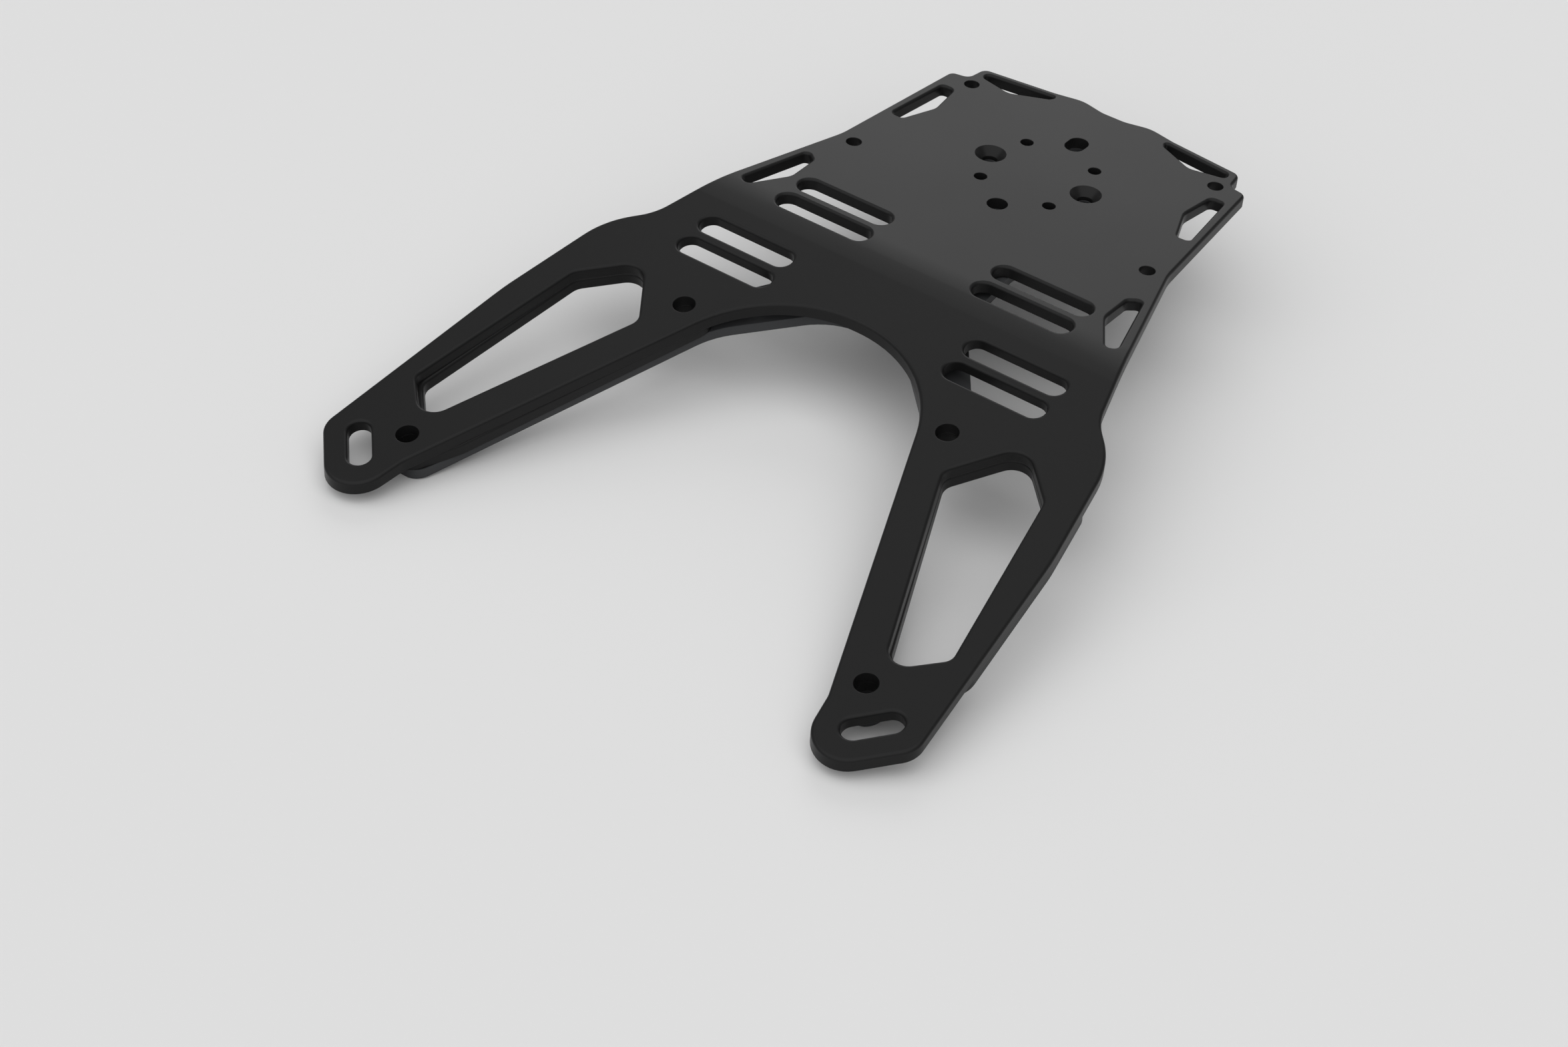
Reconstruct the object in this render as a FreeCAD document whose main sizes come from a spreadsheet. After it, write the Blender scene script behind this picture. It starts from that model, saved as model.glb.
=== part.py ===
import FreeCAD
import Part
import Sketcher
import math
import os

# Motorcycle luggage rack: a bent top plate, a flat spacer under each of its
# two arms and a bent lower plate whose tongue lies against the platform.
# Millimetres. +Z is up, the arm tips point to -Y, the mirror plane is X = 0.
# The origin is the middle of the accessory holes on the platform's top face.
# A plan place is (x, s): s runs along the top face from the bend line, plus
# to the rear on the platform and minus down the front slope.

doc = FreeCAD.newDocument("rack")
V = FreeCAD.Vector
SHEET = "Sizes"
sheet = doc.addObject("Spreadsheet::Sheet", SHEET)

sizes = {
    "plate_thickness": 5.0,
    "spacer_thickness": 5.0,
    "lower_thickness": 4.0,
    "slope": 11.0,
    "bend_radius": 100.0,
    "lower_bend": 45.0,
    "rim_radius": 1.2,
    "centre_row": 91.5,
    "blank_width": 300.0,
    "rear_reach": 170.0,
    "front_reach": 240.0,
    "joint_half": 23.3,
    "joint_hole": 6.6,
    "joint_head": 13.2,
    "joint_thread": 6.0,
    "accessory_half": 16.65,
    "accessory_pitch": 35.3,
    "accessory_hole": 5.5,
    "accessory_thread": 5.0,
    "cable_hole": 8.6,
    "cable_row": 61.0,
    "oblong_row": 121.8,
    "oblong_length": 11.6,
    "corner_half": 60.45,
    "corner_row": 133.15,
    "side_half": 71.1,
    "side_row": 60.45,
    "extra_hole": 6.6,
    "arm_hole": 9.0,
    "near_half": 61.8,
    "near_row": 65.6,
    "tip_half": 105.5,
    "tip_row": 178.0,
    "strap_length": 44.6,
    "strap_width": 10.0,
    "strap_rear": 21.0,
    "strap_bend": 6.5,
    "strap_front": 23.3,
    "strap_low": 37.2,
    "strap_half": 47.3,
    "strap_wide": 63.7,
    "tip_slot_length": 22.3,
    "tip_slot_width": 9.0,
}
for row, (word, value) in enumerate(sizes.items(), start=1):
    sheet.set("A%d" % row, word)
    sheet.set("B%d" % row, repr(value))
    sheet.setAlias("B%d" % row, word)
doc.recompute()

S = dict(sizes)
TILT = math.radians(S["slope"])
COS = math.cos(TILT)
SIN = math.sin(TILT)


def cell(word):
    return SHEET + "." + word


def mirrored(half):
    # Closes a half outline drawn for x > 0 with its mirror image.
    other = [(-x, y, r) for x, y, r in reversed(half) if x > 1e-6]
    return half + other


def rounded(corners):
    # Straight edges joined by tangent arcs, from (x, y, radius) corners.
    count = len(corners)
    ends = []
    arcs = []
    for i in range(count):
        x, y, radius = corners[i]
        here = V(x, y, 0)
        back = V(corners[i - 1][0], corners[i - 1][1], 0)
        ahead = V(corners[(i + 1) % count][0], corners[(i + 1) % count][1], 0)
        to_back = (back - here).normalize()
        to_ahead = (ahead - here).normalize()
        opening = to_back.getAngle(to_ahead)
        reach = radius / math.tan(opening / 2)
        first = here + to_back * reach
        last = here + to_ahead * reach
        middle = (to_back + to_ahead).normalize()
        centre = here + middle * (radius / math.sin(opening / 2))
        arcs.append(Part.Arc(first, centre - middle * radius, last))
        ends.append((first, last))
    shapes = []
    for i in range(count):
        start = ends[i - 1][1]
        stop = ends[i][0]
        if (stop - start).Length > 1e-3:
            shapes.append(Part.LineSegment(start, stop))
        shapes.append(arcs[i])
    return shapes


def inset(corners, depth):
    # Moves an opening's sides inward, which leaves room for its rim rounding.
    count = len(corners)
    twice = sum(corners[i - 1][0] * corners[i][1] - corners[i][0] * corners[i - 1][1] for i in range(count))
    turn = 1 if twice > 0 else -1
    moved = []
    for i in range(count):
        x, y, radius = corners[i]
        before = V(x - corners[i - 1][0], y - corners[i - 1][1], 0).normalize()
        after = V(corners[(i + 1) % count][0] - x, corners[(i + 1) % count][1] - y, 0).normalize()
        one = V(-before.y, before.x, 0) * turn
        two = V(-after.y, after.x, 0) * turn
        step = (one + two) * (depth / (1 + one.dot(two)))
        moved.append((x + step.x, y + step.y, max(radius - depth, 1.0)))
    return moved


def arc_round(cx, cy, radius, first, last, count):
    # Corners whose arcs together run along a circle, angles in degrees.
    step = math.radians(last - first) / count
    corners = []
    for i in range(count):
        angle = math.radians(first) + step * (i + 0.5)
        far = radius / math.cos(step / 2)
        corners.append((cx + far * math.cos(angle), cy + far * math.sin(angle), radius))
    return corners


def plane(body, role):
    for item in body.Origin.OriginFeatures:
        if item.Role == role:
            return item
    raise ValueError(role)


def new_body(label):
    body = doc.addObject("PartDesign::Body", label)
    body.Label = label
    return body


def new_sketch(body, role, label, tilted=False):
    sketch = body.newObject("Sketcher::SketchObject", label)
    sketch.AttachmentSupport = [(plane(body, role), "")]
    sketch.MapMode = "FlatFace"
    if tilted:
        turn = FreeCAD.Rotation(V(1, 0, 0), S["slope"])
        sketch.AttachmentOffset = FreeCAD.Placement(V(0, 0, 0), turn)
        sketch.setExpression("AttachmentOffset.Rotation.Angle", cell("slope"))
    return sketch


def fixed(sketch, shapes):
    # Adds a drawn outline and holds it where it is.
    first = sketch.GeometryCount
    sketch.addGeometry(shapes, False)
    for index in range(first, sketch.GeometryCount):
        sketch.addConstraint(Sketcher.Constraint("Block", index))


def bind(sketch, kind, items, value, formula):
    index = sketch.addConstraint(Sketcher.Constraint(kind, *items, value))
    sketch.setExpression("Constraints[%d]" % index, formula)


def place_point(sketch, geometry, point, x, y, x_formula, y_formula):
    # Sketch distances are signed from the sketch origin.
    if abs(x) < 1e-6:
        sketch.addConstraint(Sketcher.Constraint("PointOnObject", geometry, point, -2))
    else:
        bind(sketch, "DistanceX", (-1, 1, geometry, point), x, x_formula)
    bind(sketch, "DistanceY", (-1, 1, geometry, point), y, y_formula)


def add_hole(sketch, x, y, diameter, x_formula, y_formula, size_formula):
    circle = Part.Circle(V(x, y, 0), V(0, 0, 1), diameter / 2)
    index = sketch.addGeometry(circle, False)
    place_point(sketch, index, 3, x, y, x_formula, y_formula)
    bind(sketch, "Diameter", (index,), diameter, size_formula)


def add_obround(sketch, x, y, length, width, words, along_x=True):
    # A slot with round ends, held by its end centres and its width.
    x_formula, y_formula, long_formula, width_formula = words
    half = (length - width) / 2
    radius = width / 2
    out = "((" + long_formula + ") - (" + width_formula + ")) / 2"
    if along_x:
        first = V(x - half, y, 0)
        last = V(x + half, y, 0)
        side = V(0, radius, 0)
        start_angle = math.pi / 2
    else:
        first = V(x, y - half, 0)
        last = V(x, y + half, 0)
        side = V(-radius, 0, 0)
        start_angle = math.pi
    head = Part.ArcOfCircle(Part.Circle(first, V(0, 0, 1), radius), start_angle, start_angle + math.pi)
    tail = Part.ArcOfCircle(Part.Circle(last, V(0, 0, 1), radius), start_angle - math.pi, start_angle)
    a = sketch.addGeometry(head, False)
    b = sketch.addGeometry(Part.LineSegment(first - side, last - side), False)
    c = sketch.addGeometry(tail, False)
    d = sketch.addGeometry(Part.LineSegment(last + side, first + side), False)
    sketch.addConstraint(Sketcher.Constraint("Tangent", a, 2, b, 1))
    sketch.addConstraint(Sketcher.Constraint("Tangent", b, 2, c, 1))
    sketch.addConstraint(Sketcher.Constraint("Tangent", c, 2, d, 1))
    sketch.addConstraint(Sketcher.Constraint("Tangent", d, 2, a, 1))
    bind(sketch, "Diameter", (a,), width, width_formula)
    if along_x:
        place_point(sketch, a, 3, x - half, y, "(" + x_formula + ") - " + out, y_formula)
        place_point(sketch, c, 3, x + half, y, "(" + x_formula + ") + " + out, y_formula)
    else:
        place_point(sketch, a, 3, x, y - half, x_formula, "(" + y_formula + ") - " + out)
        place_point(sketch, c, 3, x, y + half, x_formula, "(" + y_formula + ") + " + out)


def side_profile(body, thickness, thick_word, radius, radius_word):
    # The bent strip seen from the side, its top faces meeting at the origin.
    sketch = new_sketch(body, "YZ_Plane", body.Label + "_side")
    rear = S["rear_reach"]
    front = S["front_reach"]
    step = radius * math.tan(TILT / 2)
    down = V(SIN * thickness, -COS * thickness, 0)
    centre = V(step, -radius, 0)
    tip = V(-front * COS, -front * SIN, 0)
    near = V(-step * COS, -step * SIN, 0)
    upright = math.pi / 2
    inner = radius - thickness
    inner_top = V(step, -thickness, 0)
    inner_low = near + down
    top_rear = Part.LineSegment(V(step, 0, 0), V(rear, 0, 0))
    top_arc = Part.ArcOfCircle(Part.Circle(centre, V(0, 0, 1), radius), upright, upright + TILT)
    top_front = Part.LineSegment(tip, near)
    end_front = Part.LineSegment(tip + down, tip)
    low_front = Part.LineSegment(tip + down, inner_low)
    low_arc = Part.ArcOfCircle(Part.Circle(centre, V(0, 0, 1), inner), upright, upright + TILT)
    low_rear = Part.LineSegment(inner_top, V(rear, -thickness, 0))
    end_rear = Part.LineSegment(V(rear, -thickness, 0), V(rear, 0, 0))
    for item in (top_rear, top_arc, top_front, end_front, low_front, low_arc, low_rear, end_rear):
        sketch.addGeometry(item, False)
    joins = [(0, 1, 1, 1), (1, 2, 2, 2), (4, 2, 5, 2), (5, 1, 6, 1)]
    for join in joins:
        sketch.addConstraint(Sketcher.Constraint("Tangent", *join))
    for meet in [(2, 1, 3, 2), (3, 1, 4, 1), (6, 2, 7, 1), (7, 2, 0, 2)]:
        sketch.addConstraint(Sketcher.Constraint("Coincident", *meet))
    sketch.addConstraint(Sketcher.Constraint("Horizontal", 0))
    sketch.addConstraint(Sketcher.Constraint("Horizontal", 6))
    sketch.addConstraint(Sketcher.Constraint("Vertical", 7))
    sketch.addConstraint(Sketcher.Constraint("PointOnObject", -1, 1, 0))
    sketch.addConstraint(Sketcher.Constraint("PointOnObject", -1, 1, 2))
    sketch.addConstraint(Sketcher.Constraint("Perpendicular", 3, 2))
    bind(sketch, "Angle", (2,), TILT, cell("slope"))
    bind(sketch, "Angle", (4,), TILT, cell("slope"))
    bind(sketch, "DistanceX", (-1, 1, 0, 2), rear, cell("rear_reach"))
    bind(sketch, "Distance", (2, 1, -1, 1), front, cell("front_reach"))
    bind(sketch, "Distance", (3,), thickness, cell(thick_word))
    bind(sketch, "DistanceY", (7,), thickness, cell(thick_word))
    bind(sketch, "Radius", (1,), radius, cell(radius_word))
    doc.recompute()
    pad = body.newObject("PartDesign::Pad", body.Label + "_strip")
    pad.Profile = sketch
    pad.SideType = "Symmetric"
    pad.Length = S["blank_width"]
    pad.setExpression("Length", cell("blank_width"))
    doc.recompute()
    return pad


def cut(body, sketch, label, least):
    # Cuts right through the plate and checks that material went.
    before = body.Shape.Volume
    pocket = body.newObject("PartDesign::Pocket", label)
    pocket.Profile = sketch
    pocket.SideType = "Symmetric"
    pocket.Type = "Length"
    pocket.Length = 400.0
    doc.recompute()
    gone = before - body.Shape.Volume
    print(label, "removes", round(gone), "left", round(body.Shape.Volume), pocket.State)
    if gone < least:
        raise ValueError(label + " removed too little")
    return pocket


def trim(body, outline, label):
    # Leaves only what lies inside the plan outline.
    sketch = new_sketch(body, "XY_Plane", label + "_plan")
    frame = [V(-260, -340, 0), V(260, -340, 0), V(260, 260, 0), V(-260, 260, 0)]
    sides = [Part.LineSegment(frame[i - 1], frame[i]) for i in range(4)]
    fixed(sketch, sides + rounded(outline))
    return cut(body, sketch, label, 1000)


def on_top(point, radius):
    # True on the top face of a bent strip, in the strip's own frame.
    step = radius * math.tan(TILT / 2)
    if point.y > step:
        return abs(point.z) < 1e-3
    if point.y > -step * COS:
        return abs(math.hypot(point.y - step, point.z + radius) - radius) < 1e-3
    return abs(point.z * COS - point.y * SIN) < 1e-3


def rim_edges(shape, radius, skip_below):
    # Names of the edges around the top face, without the bend's own seams
    # and without round holes smaller than the given radius.
    step = radius * math.tan(TILT / 2)
    names = []
    for number, edge in enumerate(shape.Edges, start=1):
        low, high = edge.ParameterRange
        spots = [edge.valueAt(low + (high - low) * k / 4) for k in range(5)]
        if not all(on_top(spot, radius) for spot in spots):
            continue
        level = max(abs(spot.y - spots[0].y) for spot in spots) < 1e-4
        seam = min(abs(spots[0].y - step), abs(spots[0].y + step * COS)) < 1e-3
        if level and seam:
            continue
        if edge.Curve.TypeId == "Part::GeomCircle" and edge.isClosed():
            if edge.Curve.Radius < skip_below:
                continue
        names.append("Edge%d" % number)
    return names


def beside_oblong(edge):
    # The oblong hole keeps a sharp rim, as the round holes do.
    spot = edge.CenterOfMass
    return abs(spot.x) < 8 and abs(spot.y - S["oblong_row"]) < 9


def dress(body, kind, names, formula, value, label):
    base = body.Tip
    feature = body.newObject("PartDesign::" + kind, label)
    feature.Base = (base, names)
    prop = "Radius" if kind == "Fillet" else "Size"
    setattr(feature, prop, value)
    feature.setExpression(prop, formula)
    doc.recompute()
    print(label, len(names), "edges", feature.State, round(feature.Shape.Volume))
    return feature


def tilt_y(s):
    # Plan place of a point on the front slope.
    return s * COS


def down_slope(corners):
    # Outline corners drawn as (x, s, radius) brought to the plan.
    return [(x, tilt_y(s) if s < 0 else s, r) for x, s, r in corners]


def at_tip(x, s, radius):
    # An outline corner that keeps its place beside the arm's tip hole.
    return (S["tip_half"] + x, s - S["tip_row"], radius)


def both_sides(sketch, corners):
    fixed(sketch, rounded(corners))
    fixed(sketch, rounded([(-x, y, r) for x, y, r in reversed(corners)]))


# Top plate
top = new_body("top_plate")
side_profile(top, S["plate_thickness"], "plate_thickness", S["bend_radius"], "bend_radius")

# The arch's round corners may grow until they meet in the middle.
arch_half, arch_row, arch_radius = 38.3, -36.2, 55.0
arm_root = at_tip(-8.0, -11.0, 10.0)
arch_turn = math.atan2((arch_row - arm_root[1]) * COS, arm_root[0] - arch_half)
arch_radius = min(arch_radius, 0.99 * arch_half / math.tan(arch_turn / 2))
top_half = [
    (5.5, 152.1, 15.0),
    (16.8, 154.9, 15.0),
    (29.5, 152.2, 20.0),
    (63.8, 148.2, 4.0),
    (65.2, 137.8, 3.5),
    (73.2, 136.3, 3.5),
    (79.3, 63.5, 30.0),
    (104.9, -29.3, 25.0),
    (119.0, -44.5, 36.0),
    (127.9, -96.0, 120.0),
    at_tip(30.7, -13.5, 10.0),
    at_tip(-1.5, -46.9, 13.3),
    arm_root,
    (arch_half, arch_row, arch_radius),
]
trim(top, down_slope(mirrored(top_half)), "top_outline")

window = [(70.3, -82.0, 7.0), (89.7, -53.2, 9.0), (110.9, -74.1, 8.0),
          at_tip(19.3, 24.5, 6.0), at_tip(0.5, 6.5, 8.0)]
front_cuts = new_sketch(top, "XY_Plane", "top_front_cuts", tilted=True)
both_sides(front_cuts, inset(window, 1.0))
slot_turn = math.radians(46.5)
slot_half = (S["tip_slot_length"] - S["tip_slot_width"]) / 2
slot_radius = S["tip_slot_width"] / 2
for sign in (1, -1):
    middle = V((S["tip_half"] + 12.2) * sign, -S["tip_row"] - 13.4, 0)
    along = V(math.cos(slot_turn) * sign, math.sin(slot_turn), 0)
    across = V(-along.y, along.x, 0) * slot_radius
    first = middle - along * slot_half
    last = middle + along * slot_half
    fixed(front_cuts, [
        Part.LineSegment(first - across, last - across),
        Part.Arc(last - across, last + along * slot_radius, last + across),
        Part.LineSegment(last + across, first + across),
        Part.Arc(first + across, first - along * slot_radius, first - across),
    ])
    prefix = "" if sign > 0 else "-"
    for word, row, half in (("strap_front", "strap_front", "strap_wide"), ("strap_low", "strap_low", "strap_wide")):
        words = (prefix + cell(half), "-" + cell(row), cell("strap_length"), cell("strap_width"))
        add_obround(front_cuts, sign * S[half], -S[word], S["strap_length"], S["strap_width"], words)
    for half, row in (("near_half", "near_row"), ("tip_half", "tip_row")):
        add_hole(front_cuts, sign * S[half], -S[row], S["arm_hole"],
                 prefix + cell(half), "-" + cell(row), cell("arm_hole"))
cut(top, front_cuts, "top_front_openings", 5000)

handle_side_front = [(90.7, 7.4, 3.5), (85.0, 4.4, 3.5), (74.2, 22.0, 9.0), (74.6, 38.2, 3.5), (81.3, 43.6, 3.0)]
handle_side_rear = [(74.0, 89.6, 3.0), (66.7, 89.2, 3.0), (60.3, 106.5, 9.0), (62.9, 125.0, 3.5), (70.5, 125.2, 3.0)]
handle_rear = [(27.0, 149.1, 1.0), (61.2, 145.0, 2.0), (59.3, 141.6, 2.0), (44.8, 138.4, 7.0), (29.0, 145.9, 1.0)]
rear_cuts = new_sketch(top, "XY_Plane", "top_rear_cuts")
for handle in (handle_side_front, handle_side_rear):
    both_sides(rear_cuts, inset(handle, 1.0))
both_sides(rear_cuts, handle_rear)
for sign in (1, -1):
    prefix = "" if sign > 0 else "-"
    for row in ("strap_rear", "strap_bend"):
        words = (prefix + cell("strap_half"), cell(row), cell("strap_length"), cell("strap_width"))
        add_obround(rear_cuts, sign * S["strap_half"], S[row], S["strap_length"], S["strap_width"], words)
    for half, row, size in (("corner_half", "corner_row", "extra_hole"),
                            ("side_half", "side_row", "extra_hole"),
                            ("joint_half", "centre_row", "joint_hole")):
        add_hole(rear_cuts, sign * S[half], S[row], S[size], prefix + cell(half), cell(row), cell(size))
    for way in (1, -1):
        y = S["centre_row"] + way * S["accessory_pitch"] / 2
        y_formula = cell("centre_row") + (" + " if way > 0 else " - ") + cell("accessory_pitch") + " / 2"
        add_hole(rear_cuts, sign * S["accessory_half"], y, S["accessory_hole"],
                 prefix + cell("accessory_half"), y_formula, cell("accessory_hole"))
add_hole(rear_cuts, 0, S["cable_row"], S["cable_hole"], "0", cell("cable_row"), cell("cable_hole"))
oblong_words = ("0", cell("oblong_row"), cell("oblong_length"), cell("cable_hole"))
add_obround(rear_cuts, 0, S["oblong_row"], S["oblong_length"], S["cable_hole"], oblong_words, along_x=False)
cut(top, rear_cuts, "top_rear_openings", 5000)

# The joint holes are sunk for countersunk screws.
joint_rims = []
for number, edge in enumerate(top.Shape.Edges, start=1):
    if edge.Curve.TypeId == "Part::GeomCircle" and abs(edge.Curve.Radius - S["joint_hole"] / 2) < 1e-4:
        middle = edge.Curve.Center
        if abs(abs(middle.x) - S["joint_half"]) < 1e-3 and abs(middle.z) < 1e-3:
            if abs(middle.y - S["centre_row"]) < 1e-3:
                joint_rims.append("Edge%d" % number)
sink = "(" + cell("joint_head") + " - " + cell("joint_hole") + ") / 2"
dress(top, "Chamfer", joint_rims, sink, (S["joint_head"] - S["joint_hole"]) / 2, "joint_sinks")
rims = rim_edges(top.Shape, S["bend_radius"], 7.0)
crisp = [name for name in rims if beside_oblong(top.Shape.Edges[int(name[4:]) - 1])]
rims = [name for name in rims if name not in crisp]
dress(top, "Fillet", rims, cell("rim_radius"), S["rim_radius"], "top_rims")
top.Placement = FreeCAD.Placement(V(0, -S["centre_row"], 0), FreeCAD.Rotation())
top.setExpression("Placement.Base.y", "-" + cell("centre_row"))

# Spacers, flat, one under each arm
spacer_outline = [
    (121.9, -66.5, 8.0),
    (101.3, -46.5, 7.0),
    (47.6, -56.8, 11.0),
    at_tip(-17.2, 10.5, 15.0),
    at_tip(-1.7, -17.4, 10.0),
    at_tip(26.7, 22.5, 12.0),
    (126.9, -96.0, 60.0),
]
spacer_window = [(70.3, -82.0, 7.0), (89.7, -53.2, 9.0), (110.9, -74.1, 8.0),
                 at_tip(17.9, 26.2, 6.0), at_tip(0.5, 8.4, 8.0)]
for sign, name in ((1, "spacer_left"), (-1, "spacer_right")):
    prefix = "" if sign > 0 else "-"
    spacer = new_body(name)
    plan = new_sketch(spacer, "XY_Plane", name + "_plan")
    for outline in (spacer_outline, inset(spacer_window, 1.0)):
        fixed(plan, rounded([(sign * x, y, r) for x, y, r in outline]))
    for half, row in (("near_half", "near_row"), ("tip_half", "tip_row")):
        add_hole(plan, sign * S[half], -S[row], S["arm_hole"],
                 prefix + cell(half), "-" + cell(row), cell("arm_hole"))
    doc.recompute()
    pad = spacer.newObject("PartDesign::Pad", name + "_plate")
    pad.Profile = plan
    pad.Length = S["spacer_thickness"]
    pad.Reversed = True
    pad.setExpression("Length", cell("spacer_thickness"))
    doc.recompute()
    print(name, round(pad.Shape.Volume), pad.Shape.BoundBox)
    rims = []
    for number, edge in enumerate(spacer.Shape.Edges, start=1):
        flat = abs(edge.BoundBox.ZMin) < 1e-4 and abs(edge.BoundBox.ZMax) < 1e-4
        if flat and not edge.isClosed():
            rims.append("Edge%d" % number)
    dress(spacer, "Fillet", rims, cell("rim_radius"), S["rim_radius"], name + "_rims")
    spacer.Placement = FreeCAD.Placement(V(0, 0, 0), FreeCAD.Rotation(V(1, 0, 0), S["slope"]))
    spacer.setExpression("Placement.Rotation.Angle", cell("slope"))
    spacer.setExpression("Placement.Base.y", cell("plate_thickness") + " * sin(" + cell("slope") + ") - "
                         + cell("centre_row"))
    spacer.setExpression("Placement.Base.z", "-" + cell("plate_thickness") + " * cos(" + cell("slope") + ")")

# Lower plate: its arms lie under the spacers and its tongue under the
# platform, so its bend sits behind the top plate's bend.
lower = new_body("lower_plate")
side_profile(lower, S["lower_thickness"], "lower_thickness", S["lower_bend"], "lower_bend")
stack = S["plate_thickness"] + S["spacer_thickness"]
bend_back = (stack - S["plate_thickness"] * COS) / SIN
slope_shift = bend_back * COS - S["plate_thickness"] * SIN
tongue_end = [(0.0, 138.2, 10.0), (29.0, 115.4, 20.0)]
arm_outside = [(28.6, -4.0, 20.0), (71.8, -62.3, 8.0), (71.8, -70.5, 5.0), (68.0, -76.6, 4.0), at_tip(-1.1, 8.2, 3.0)]
arm_inside = [(50.7, -62.5, 35.0), (16.0, -28.5, 32.0)]
eye_radius = 7.2
eye_row = (-S["tip_row"] - slope_shift) * COS
lower_half = [(x, s - bend_back, r) for x, s, r in tongue_end]
lower_half += [(x, (s - slope_shift) * COS, r) for x, s, r in arm_outside]
lower_half += arc_round(S["tip_half"], eye_row, eye_radius, 80.0, -90.0, 2)
lower_half += [(S["tip_half"] - 8.8, eye_row - eye_radius, 8.0)]
lower_half += [(x, (s - slope_shift) * COS, r) for x, s, r in arm_inside]
trim(lower, mirrored(lower_half), "lower_outline")
shift = "((" + cell("plate_thickness") + " + " + cell("spacer_thickness") + " - " + cell("plate_thickness") \
    + " * cos(" + cell("slope") + ")) / sin(" + cell("slope") + "))"
slide = "(" + shift + " * cos(" + cell("slope") + ") - " + cell("plate_thickness") + " * sin(" + cell("slope") + "))"
lower_front = new_sketch(lower, "XY_Plane", "lower_front_holes", tilted=True)
for sign in (1, -1):
    prefix = "" if sign > 0 else "-"
    for half, row in (("near_half", "near_row"), ("tip_half", "tip_row")):
        add_hole(lower_front, sign * S[half], -S[row] - slope_shift, S["arm_hole"],
                 prefix + cell(half), "-" + cell(row) + " - " + slide, cell("arm_hole"))
cut(lower, lower_front, "lower_arm_holes", 500)
tongue = new_sketch(lower, "XY_Plane", "tongue_holes")
for sign in (1, -1):
    prefix = "" if sign > 0 else "-"
    add_hole(tongue, sign * S["joint_half"], S["centre_row"] - bend_back, S["joint_thread"],
             prefix + cell("joint_half"), cell("centre_row") + " - " + shift, cell("joint_thread"))
    for way in (1, -1):
        y = S["centre_row"] + way * S["accessory_pitch"] / 2 - bend_back
        y_formula = cell("centre_row") + (" + " if way > 0 else " - ") + cell("accessory_pitch") + " / 2 - " + shift
        add_hole(tongue, sign * S["accessory_half"], y, S["accessory_thread"],
                 prefix + cell("accessory_half"), y_formula, cell("accessory_thread"))
add_hole(tongue, 0, S["cable_row"] - bend_back, S["cable_hole"],
         "0", cell("cable_row") + " - " + shift, cell("cable_hole"))
tongue_words = ("0", cell("oblong_row") + " - " + shift, cell("oblong_length"), cell("cable_hole"))
add_obround(tongue, 0, S["oblong_row"] - bend_back, S["oblong_length"], S["cable_hole"], tongue_words, along_x=False)
cut(lower, tongue, "tongue_openings", 300)
lower.Placement = FreeCAD.Placement(V(0, bend_back - S["centre_row"], -S["plate_thickness"]), FreeCAD.Rotation())
lower.setExpression("Placement.Base.y", shift + " - " + cell("centre_row"))
lower.setExpression("Placement.Base.z", "-" + cell("plate_thickness"))

doc.recompute()
for item in doc.Objects:
    if "Invalid" in item.State or "Error" in item.State:
        raise ValueError(item.Label + " did not compute")
os.makedirs("parts", exist_ok=True)
for body in [item for item in doc.Objects if item.TypeId == "PartDesign::Body"]:
    shape = body.Shape
    if shape.isNull() or not shape.isValid():
        raise ValueError(body.Label + " has a bad shape")
    if min(face.Area for face in shape.Faces) < 1e-3:
        raise ValueError(body.Label + " has an empty face")
    print(body.Label, len(shape.Solids), "solid", round(shape.Volume), shape.BoundBox)
    shape.exportStep("parts/" + body.Label + ".step")
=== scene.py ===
import math

import bpy
from mathutils import Matrix, Vector


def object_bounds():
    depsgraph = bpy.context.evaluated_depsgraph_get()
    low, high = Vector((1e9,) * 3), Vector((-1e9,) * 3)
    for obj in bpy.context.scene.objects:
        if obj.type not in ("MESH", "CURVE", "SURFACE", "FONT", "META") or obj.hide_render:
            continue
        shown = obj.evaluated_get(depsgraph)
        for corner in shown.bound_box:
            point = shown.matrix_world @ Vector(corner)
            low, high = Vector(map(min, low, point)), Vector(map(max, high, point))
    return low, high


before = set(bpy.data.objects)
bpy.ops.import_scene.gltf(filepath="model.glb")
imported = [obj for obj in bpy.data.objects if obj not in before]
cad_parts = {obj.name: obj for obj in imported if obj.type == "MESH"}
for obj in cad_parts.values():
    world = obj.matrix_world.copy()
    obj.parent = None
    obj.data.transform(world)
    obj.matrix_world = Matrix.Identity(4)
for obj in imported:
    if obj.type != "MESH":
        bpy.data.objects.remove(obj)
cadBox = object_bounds()
print("stage: frame loaded")

# Colours are linear, lengths are in metres and angles in degrees.
blackCoat = {
    "name": "satinBlackCoat",
    "colour": (0.0086, 0.0086, 0.0087, 1.0),
    "roughness": 0.36,
    "rim": 0.0004,  # how far crisp rims are softened in the shading
    "grain": 0.30,
    "plates": ["top_plate", "spacer_left", "spacer_right"],
}
greyCoat = {
    "name": "satinGreyCoat",
    "colour": (0.040, 0.041, 0.043, 1.0),
    "roughness": 0.40,
    "rim": 0.0005,
    "grain": 0.15,
    "plates": ["lower_plate"],
}
powder = {
    "specular": 0.16,
    "grainScale": 2600.0,
    "grainDetail": 2.0,
    "grainDepth": 0.00004,
    "cloudScale": 14.0,
    "cloudDetail": 3.0,
    "cloudRange": 0.03,  # roughness either side of the coat's own
    "rimSamples": 6,
}


def addNode(tree, kind, place, **inputs):
    node = tree.nodes.new(kind)
    node.location = place
    for name, value in inputs.items():
        node.inputs[name.replace("_", " ")].default_value = value
    return node


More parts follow.
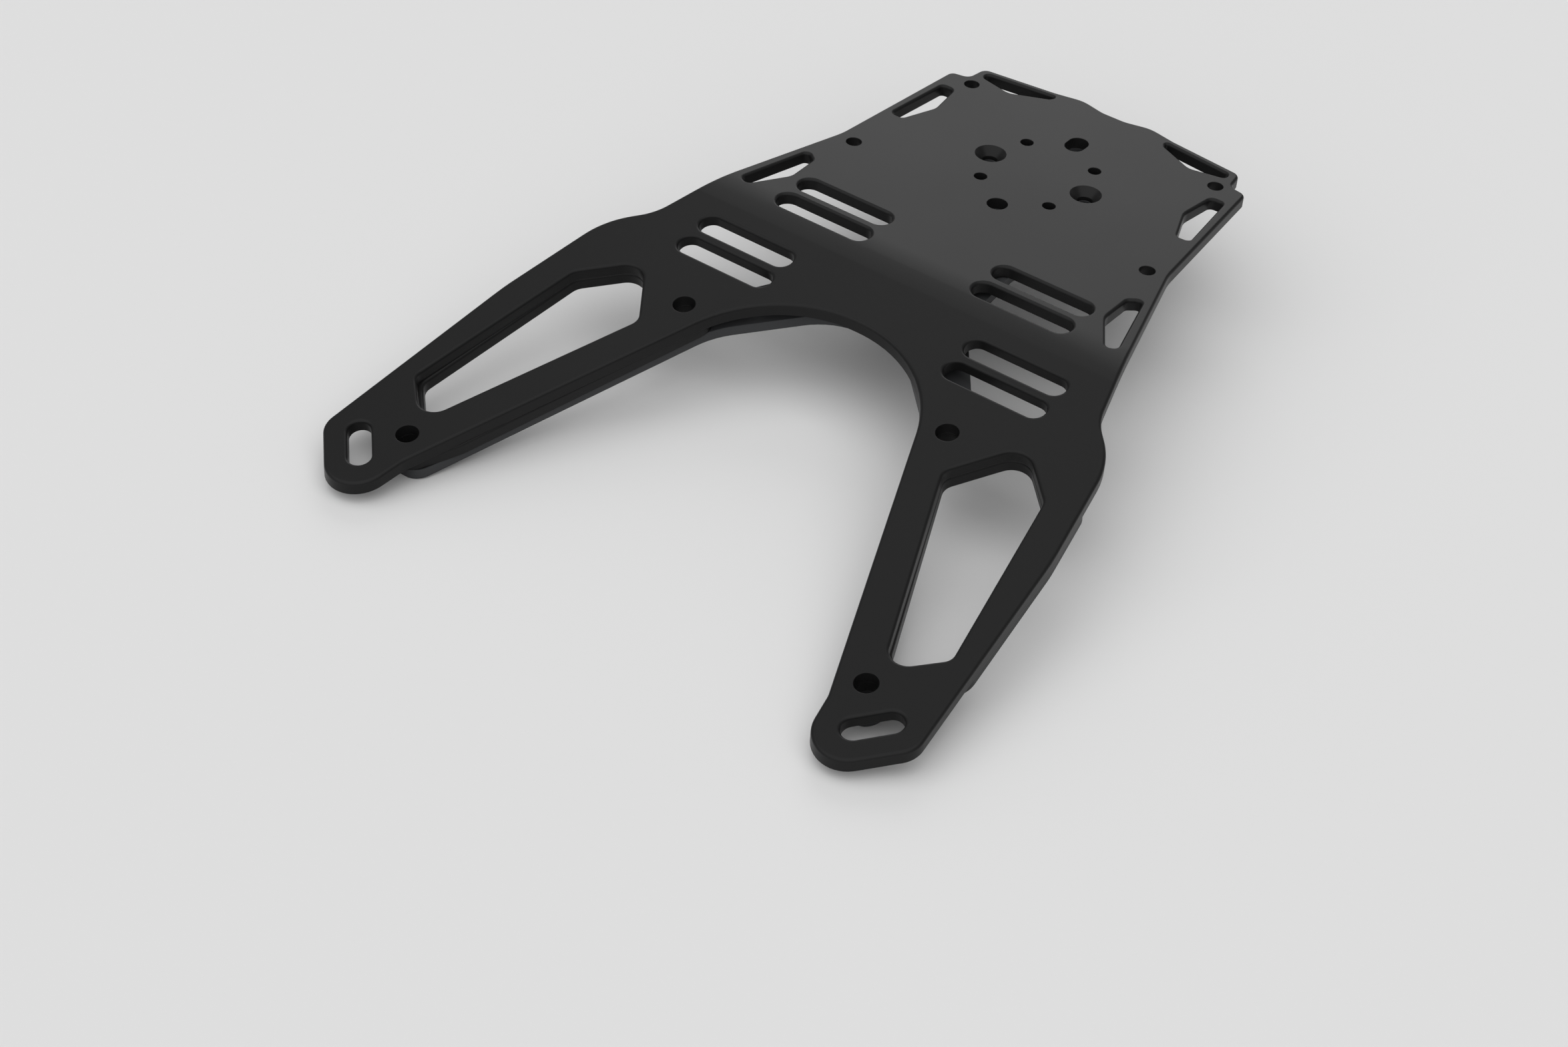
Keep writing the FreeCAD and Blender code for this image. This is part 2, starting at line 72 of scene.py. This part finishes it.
def coatMaterial(coat):
    # Powder coat: a fine grain, a slight cloudiness and softly rounded rims.
    material = bpy.data.materials.new(coat["name"])
    material.use_nodes = True
    tree = material.node_tree
    tree.nodes.clear()
    link = tree.links.new
    out = addNode(tree, "ShaderNodeOutputMaterial", (900, 0))
    paint = addNode(tree, "ShaderNodeBsdfPrincipled", (600, 0),
                    Base_Color=coat["colour"], Roughness=coat["roughness"],
                    Specular_IOR_Level=powder["specular"])
    spot = addNode(tree, "ShaderNodeTexCoord", (-900, 0))
    grain = addNode(tree, "ShaderNodeTexNoise", (-600, -200),
                    Scale=powder["grainScale"], Detail=powder["grainDetail"])
    cloud = addNode(tree, "ShaderNodeTexNoise", (-600, 200),
                    Scale=powder["cloudScale"], Detail=powder["cloudDetail"])
    link(spot.outputs["Object"], grain.inputs["Vector"])
    link(spot.outputs["Object"], cloud.inputs["Vector"])
    rim = addNode(tree, "ShaderNodeBevel", (0, -400), Radius=coat["rim"])
    rim.samples = powder["rimSamples"]
    bump = addNode(tree, "ShaderNodeBump", (300, -300),
                   Strength=coat["grain"], Distance=powder["grainDepth"])
    link(grain.outputs["Fac"], bump.inputs["Height"])
    link(rim.outputs["Normal"], bump.inputs["Normal"])
    link(bump.outputs["Normal"], paint.inputs["Normal"])
    spread = addNode(tree, "ShaderNodeMapRange", (0, 200),
                     To_Min=coat["roughness"] - powder["cloudRange"],
                     To_Max=coat["roughness"] + powder["cloudRange"])
    link(cloud.outputs["Fac"], spread.inputs["Value"])
    link(spread.outputs["Result"], paint.inputs["Roughness"])
    link(paint.outputs["BSDF"], out.inputs["Surface"])
    return material


for coat in (blackCoat, greyCoat):
    material = coatMaterial(coat)
    for name in coat["plates"]:
        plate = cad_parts[name]
        plate.data.materials.clear()
        plate.data.materials.append(material)
        for face in plate.data.polygons:
            face.material_index = 0
print("stage: coats on")

studioFloor = {
    "name": "studioFloor",
    "colour": (0.71, 0.71, 0.71, 1.0),
    "roughness": 0.95,
    "size": 12.0,
    "gap": 0.0002,  # under the rack's lowest point
}
floorLevel = cadBox[0][2] - studioFloor["gap"]
bpy.ops.mesh.primitive_plane_add(size=studioFloor["size"], location=(0, 0, floorLevel))
floor = bpy.context.object
floor.name = studioFloor["name"]
ground = bpy.data.materials.new("paleFloor")
ground.use_nodes = True
matte = ground.node_tree.nodes["Principled BSDF"]
matte.inputs["Base Color"].default_value = studioFloor["colour"]
matte.inputs["Roughness"].default_value = studioFloor["roughness"]
matte.inputs["Specular IOR Level"].default_value = 0.0
floor.data.materials.append(ground)

studioLight = {
    "world": 0.30,
    "suns": [
        # name, the direction it shines from, how wide it looks, strength
        ("keyLight", (0.10, -0.60, 1.0), 110.0, 2.40),
        ("backLight", (-0.431, 0.75, 0.48), 34.0, 0.51),
    ],
}
world = bpy.data.worlds.new("studio")
bpy.context.scene.world = world
world.use_nodes = True
glow = world.node_tree.nodes["Background"]
glow.inputs["Color"].default_value = (1, 1, 1, 1)
glow.inputs["Strength"].default_value = studioLight["world"]
for name, direction, width, strength in studioLight["suns"]:
    sun = bpy.data.lights.new(name, "SUN")
    sun.angle = math.radians(width)
    sun.energy = strength
    lamp = bpy.data.objects.new(name, sun)
    bpy.context.collection.objects.link(lamp)
    lamp.rotation_euler = Vector(direction).to_track_quat("Z", "Y").to_euler()
print("stage: studio set")

photoCamera = {
    "name": "photoCamera",
    "place": (0.4639, -0.8572, 0.5990),
    "azimuth": 33.9,
    "elevation": 39.33,
    "roll": 4.42,
    "lens": 63.03,  # millimetres, on a sensor of 36
    "sensor": 36.0,
    "nearest": 0.01,
}
azimuth = math.radians(photoCamera["azimuth"])
elevation = math.radians(photoCamera["elevation"])
roll = math.radians(photoCamera["roll"])
back = Vector((math.sin(azimuth) * math.cos(elevation),
               -math.cos(azimuth) * math.cos(elevation),
               math.sin(elevation)))
right = Vector((math.cos(azimuth), math.sin(azimuth), 0.0))
up = back.cross(right)
cameraRight = right * math.cos(roll) + up * math.sin(roll)
cameraUp = up * math.cos(roll) - right * math.sin(roll)
cameraData = bpy.data.cameras.new(photoCamera["name"])
cameraData.sensor_fit = "HORIZONTAL"
cameraData.sensor_width = photoCamera["sensor"]
cameraData.lens = photoCamera["lens"]
cameraData.clip_start = photoCamera["nearest"]
camera = bpy.data.objects.new(photoCamera["name"], cameraData)
bpy.context.collection.objects.link(camera)
turn = Matrix((cameraRight, cameraUp, back)).transposed().to_4x4()
camera.matrix_world = Matrix.Translation(photoCamera["place"]) @ turn
bpy.context.scene.camera = camera
bpy.context.scene.view_settings.view_transform = "Standard"
print("stage: camera set")
